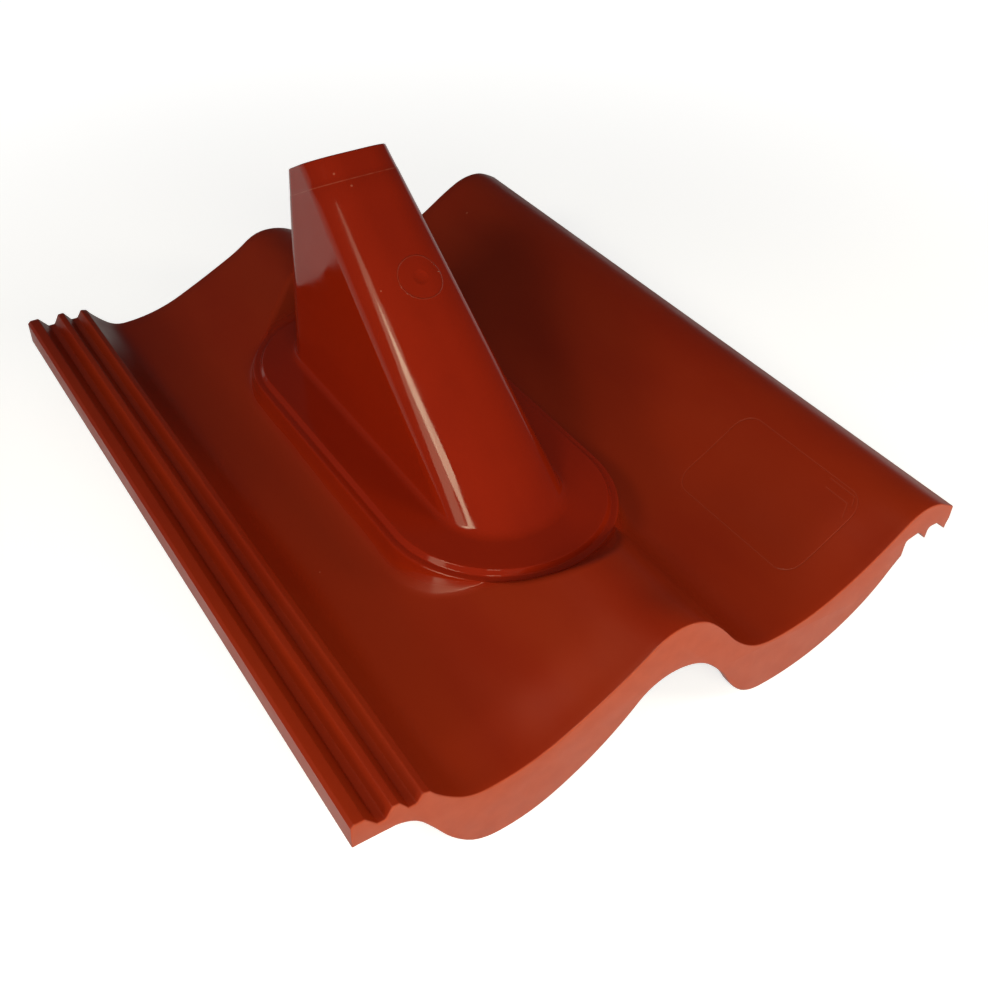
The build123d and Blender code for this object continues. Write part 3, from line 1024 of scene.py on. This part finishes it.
def plastic_material():
    """Red-brown moulded plastic, polished on the hood and plinth and duller on the sheet."""
    material, tree, shader = plain_material("tile_plastic_look")
    coordinates = new_node(tree, "TexCoord")
    scaled = vector(tree, "MULTIPLY", coordinates.outputs["Object"], (1 / MM, 1 / MM, 1 / MM))
    place = vector(tree, "ADD", scaled, (WIDTH / 2, LENGTH / 2, 0.0))
    upward = vector(tree, "DOT_PRODUCT", coordinates.outputs["Normal"], (0.0, 0.0, 1.0))

    plan = vector(tree, "MULTIPLY", place, (1.0, 1.0, 0.0))
    polished = ramp(tree, oval_distance(tree, plan), POLISHED_OUT, POLISHED_IN)
    lines, ring, dimple, parting = mark_masks(tree, place, plan, upward)
    specks = speck_mask(tree, place)

    flow = clouds(tree, vector(tree, "MULTIPLY", place, (1.0, 0.35, 1.0)), 0.022, 4.0)
    pigment = clouds(tree, place, 2.6)
    deep = calc(tree, "ADD", ramp(tree, flow, 0.35, 0.75, 0.0, 0.5), ramp(tree, pigment, 0.3, 0.8, 0.0, 0.18))
    pale = specks
    for mask, share in ((lines, LINE_PALE), (ring, RING_PALE), (parting, PARTING_PALE)):
        pale = calc(tree, "MAXIMUM", pale, calc(tree, "MULTIPLY", mask, share))
    colour = mixed(tree, pale, mixed(tree, deep, mixed(tree, polished, PLASTIC_SHEET, PLASTIC), PLASTIC_DEEP),
                   PLASTIC_PALE)
    # Painted sheen on the face of the front rim, the first millimetre of the tile's length, paler for the light
    # it catches.
    along = vector(tree, "DOT_PRODUCT", place, (0.0, 1.0, 0.0))
    front_sheen = calc(tree, "MULTIPLY", ramp(tree, along, SHEEN_START, SHEEN_END),
                 ramp(tree, clouds(tree, place, 0.12, 3.0), 0.25, 0.75, 0.8, 1.0))
    tree.links.new(mixed(tree, front_sheen, colour, PLASTIC_FRONT_SHEEN), shader.inputs["Base Color"])
    shader.inputs["Specular IOR Level"].default_value = GLOSS_LEVEL
    shader.inputs["Specular Tint"].default_value = GLOSS_TINT

    smears = ramp(tree, clouds(tree, vector(tree, "MULTIPLY", place, (1.0, 0.4, 1.0)), 0.05, 5.0),
                  0.35, 0.7, -0.03, 0.05)
    dull = ramp(tree, polished, 0.0, 1.0, SHEET_ROUGH, POLISHED_ROUGH)
    tree.links.new(calc(tree, "ADD", dull, smears), shader.inputs["Roughness"])

    slow = calc(tree, "MULTIPLY", clouds(tree, place, 0.035, 1.0), SLOW_RELIEF)
    spark = calc(tree, "MULTIPLY", clouds(tree, place, 1.4),
                 ramp(tree, polished, 0.0, 1.0, SHEET_SPARK, POLISHED_SPARK))
    relief = calc(tree, "ADD", slow, spark)
    for mask, height in ((lines, LINE_RELIEF), (ring, RING_RELIEF), (dimple, DIMPLE_RELIEF),
                         (specks, SPECK_RELIEF)):
        relief = calc(tree, "ADD", relief, calc(tree, "MULTIPLY", mask, height))
    bump = new_node(tree, "Bump")
    bump.inputs["Distance"].default_value = MM
    tree.links.new(relief, bump.inputs["Height"])
    tree.links.new(bump.outputs["Normal"], shader.inputs["Normal"])
    print("Plastic nodes:", len(tree.nodes))
    return material


tile.data.materials.append(plastic_material())

# %% [markdown]
# ## Floor, light and camera
#
# The tile lies on a plain pale floor. It is an ordinary matt surface, so the tile's shadow stays, and a little
# added glow makes it white to the camera. The tile's reflections get a share of the glow and no other ray sees
# any, which keeps the light on the tile at a plain level. Near the tile, where its shadow lies, it is weaker.

# %% Floor
FLOOR_SIZE = 60.0
FLOOR_COLOUR = (0.62, 0.61, 0.59, 1.0)
NEAR, FAR = 0.3, 0.9
GLOW_NEAR = 0.72
GLOW_FAR = 0.95
GLOW_MIRRORED = 0.35


def floor_look():
    """Matt pale floor that shows as white to the camera and in reflections."""
    material, tree, matt = plain_material("floor_pale")
    matt.inputs["Base Color"].default_value = FLOOR_COLOUR
    matt.inputs["Roughness"].default_value = 0.9
    matt.inputs["Specular IOR Level"].default_value = 0.1
    rays = new_node(tree, "LightPath")
    mirrored = calc(tree, "MAXIMUM", rays.outputs["Is Glossy Ray"], rays.outputs["Is Transmission Ray"])
    share = calc(tree, "MULTIPLY", mirrored, GLOW_MIRRORED)
    seen = calc(tree, "MAXIMUM", rays.outputs["Is Camera Ray"], share)
    coordinates = new_node(tree, "TexCoord")
    away = vector(tree, "LENGTH", coordinates.outputs["Object"])
    strength = calc(tree, "MULTIPLY", seen, ramp(tree, away, NEAR, FAR, GLOW_NEAR, GLOW_FAR))
    glow = new_node(tree, "Emission", (1.0, 1.0, 1.0, 1.0), strength)
    both = new_node(tree, "AddShader", matt.outputs[0], glow.outputs[0])
    tree.links.new(both.outputs[0], tree.nodes["Material Output"].inputs["Surface"])
    return material


bpy.ops.mesh.primitive_plane_add(size=FLOOR_SIZE, location=(0, 0, cad_low[2]))
floor = bpy.context.object
floor.name = "floor"
floor.data.materials.append(floor_look())
print("Floor at height", round(cad_low[2], 4))

# %% [markdown]
# The tile is lit much as by a flash: most of the light comes from near the camera and low in front, so it is
# strongest at the front rim and falls away towards the head. The surroundings are dark, so the sheet shows its
# own deep colour. The polished parts mirror a small lamp beside the camera and a window on the left, which draw
# the long streak down the hood's corner. The fills add light but leave no mirror image, because the
# real plastic shows none.

# %% World and lamps
STUDIO_LIGHT_SIDE = Vector((-0.45, -0.85, 0.1)).normalized()
STUDIO_DARK = 0.05
STUDIO_LIGHT = 0.14
STUDIO_COLOUR = (0.85, 0.9, 1.0, 1.0)
LAMP_COLOUR = (1.0, 0.95, 0.8)
FILL_TARGET = (0.05, -0.12, 0.05)
FILL_SIZE = (0.25, 0.2)
# Each lamp is its name, place, target, size, power, and whether the plastic mirrors it.
LAMPS = (
    ("window_left", (-0.92, -0.15, 0.62), (-0.03, 0.0, 0.1), (0.28, 0.8), 1.9, True),
    ("window_left_top", (-0.8, -0.27, 0.78), (-0.03, -0.03, 0.1), (0.32, 0.2), 2.2, True),
    ("near_camera", (-0.3, -0.52, 0.49), (0.02, -0.12, 0.05), (0.13, 0.13), 0.7, True),
    ("low_front", (0.6, -1.0, 0.2), (0.05, 0.0, 0.05), (0.7, 0.25), 1.7, True),
    ("front_fill", (-0.16, -0.62, 0.36), FILL_TARGET, FILL_SIZE, 1.1, False),
    ("right_fill", (0.45, -0.6, 0.4), FILL_TARGET, FILL_SIZE, 2.0, False),
    ("left_fill", (-0.8, -0.36, 0.2), FILL_TARGET, FILL_SIZE, 1.8, False),
)


def studio_world():
    """Grey surroundings, lightest behind the camera."""
    world = bpy.data.worlds.new("studio")
    world.use_nodes = True
    tree = world.node_tree
    coordinates = new_node(tree, "TexCoord")
    facing = vector(tree, "DOT_PRODUCT", coordinates.outputs["Generated"], STUDIO_LIGHT_SIDE)
    background = tree.nodes["Background"]
    background.inputs["Color"].default_value = STUDIO_COLOUR
    tree.links.new(ramp(tree, facing, -1.0, 1.0, STUDIO_DARK, STUDIO_LIGHT), background.inputs["Strength"])
    return world


def softbox(name, place, target, size, power, mirrored):
    """A rectangular lamp that faces a target, and that the plastic mirrors or not."""
    data = bpy.data.lights.new(name, "AREA")
    data.shape = "RECTANGLE"
    data.size, data.size_y = size
    data.energy = power
    data.color = LAMP_COLOUR
    lamp = bpy.data.objects.new(name, data)
    lamp.location = place
    lamp.rotation_euler = (Vector(target) - Vector(place)).to_track_quat("-Z", "Y").to_euler()
    lamp.visible_glossy = mirrored
    bpy.context.scene.collection.objects.link(lamp)


bpy.context.scene.world = studio_world()
for lamp in LAMPS:
    softbox(*lamp)

# %% [markdown]
# The camera stands in front of the tile on its left, half a metre away and a little less than that above the
# floor, and looks down on the plinth. Its place, direction and lens were fitted to the real tile's outline.

# %% Camera
CAMERA_PLACE = Vector((-0.2718, -0.4619, 0.4518))
CAMERA_FORWARD = Vector((0.422, 0.636, -0.646)).normalized()
CAMERA_RIGHT = Vector((0.842, -0.539, 0.019)).normalized()
camera_data = bpy.data.cameras.new("camera")
camera_data.lens = 44.25
camera_data.sensor_width = 36.0
camera = bpy.data.objects.new("camera", camera_data)
camera_up = CAMERA_RIGHT.cross(CAMERA_FORWARD).normalized()
camera_right = CAMERA_FORWARD.cross(camera_up).normalized()
rotation = Matrix((camera_right, camera_up, -CAMERA_FORWARD)).transposed()
camera.matrix_world = Matrix.Translation(CAMERA_PLACE) @ rotation.to_4x4()
bpy.context.scene.collection.objects.link(camera)
bpy.context.scene.camera = camera
bpy.context.scene.view_settings.view_transform = "Standard"
print("Camera height over the floor:", round(camera.matrix_world.translation.z, 3), "m")
